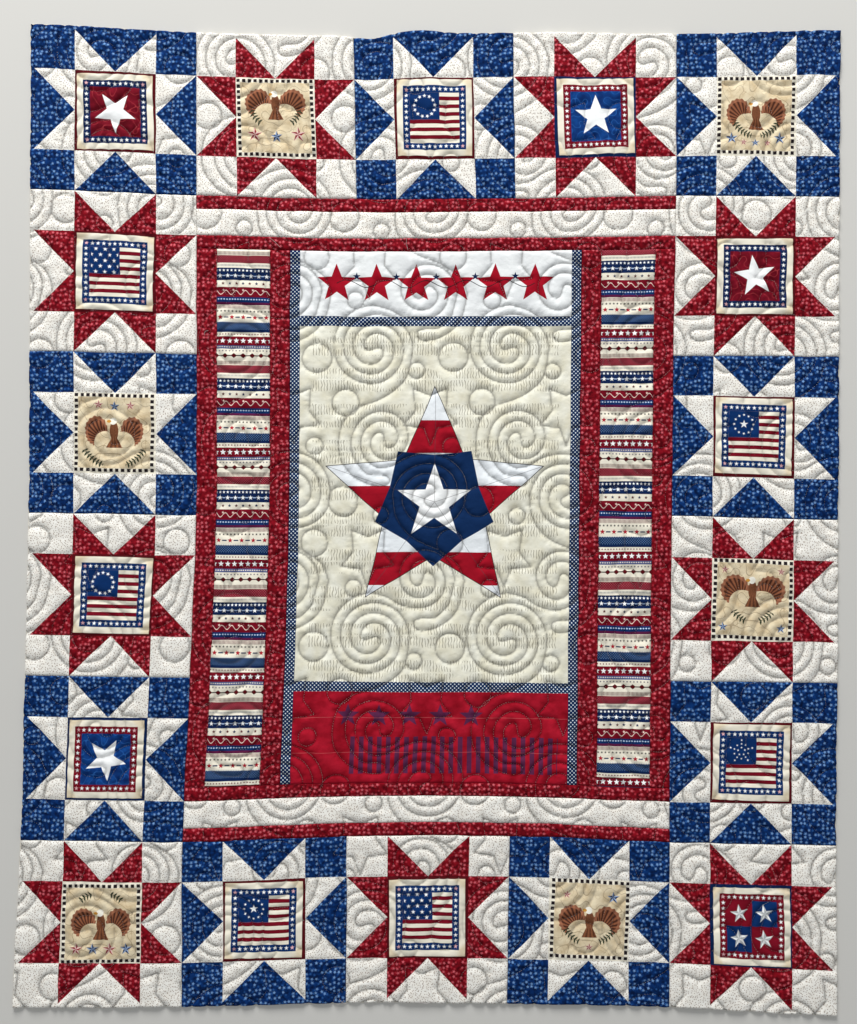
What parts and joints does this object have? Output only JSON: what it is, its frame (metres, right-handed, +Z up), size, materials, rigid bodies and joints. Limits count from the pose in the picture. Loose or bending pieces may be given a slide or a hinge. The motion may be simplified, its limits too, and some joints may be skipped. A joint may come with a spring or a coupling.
{
  "type": "star quilt blanket",
  "caption": "Flat pieced bed quilt: a ring of sawtooth star blocks round a printed centre panel, puffed by machine quilting, with a raw edge.",
  "frame": {"origin": "on the floor, under the middle of the quilt's outline", "axes": "+X to the quilt's right, +Y to its top, +Z up from the floor through the face"},
  "size_m": [1.5516, 1.8666, 0.006],
  "materials": {
    "backing_cotton": "matt unbleached cotton with a fluffy cut edge of wadding",
    "blue_star_cotton": "matt printed cotton, blue with pale flecks, pieced with cream",
    "red_star_cotton": "matt printed cotton, deep red with rosy dots, pieced with cream",
    "red_cotton": "matt printed cotton, deep red with rosy dots",
    "cream_cotton": "matt cream cotton with fine brown specks",
    "striped_cotton": "matt cotton printed in bands of navy, red and cream",
    "panel_cotton": "matt printed cotton panel, cream, red and navy"
  },
  "bodies": {
    "root": {"backing": "backing_cotton", "blue_star_block_1_1": "blue_star_cotton", "blue_star_block_1_3": "blue_star_cotton", "blue_star_block_1_5": "blue_star_cotton", "blue_star_block_2_6": "blue_star_cotton", "blue_star_block_3_1": "blue_star_cotton", "blue_star_block_4_6": "blue_star_cotton", "blue_star_block_5_1": "blue_star_cotton", "blue_star_block_5_3": "blue_star_cotton", "blue_star_block_5_5": "blue_star_cotton", "red_star_block_1_2": "red_star_cotton", "red_star_block_1_4": "red_star_cotton", "red_star_block_1_6": "red_star_cotton", "red_star_block_2_1": "red_star_cotton", "red_star_block_3_6": "red_star_cotton", "red_star_block_4_1": "red_star_cotton", "red_star_block_5_2": "red_star_cotton", "red_star_block_5_4": "red_star_cotton", "red_star_block_5_6": "red_star_cotton", "red_strip_top": "red_cotton", "red_strip_bottom": "red_cotton", "cream_strip_top": "cream_cotton", "cream_strip_bottom": "cream_cotton", "red_rail_top": "red_cotton", "red_rail_bottom": "red_cotton", "outer_red_stile_left": "red_cotton", "outer_red_stile_right": "red_cotton", "inner_red_stile_left": "red_cotton", "inner_red_stile_right": "red_cotton", "striped_column_left": "striped_cotton", "striped_column_right": "striped_cotton", "centre_panel": "panel_cotton"}
  },
  "joints": []
}
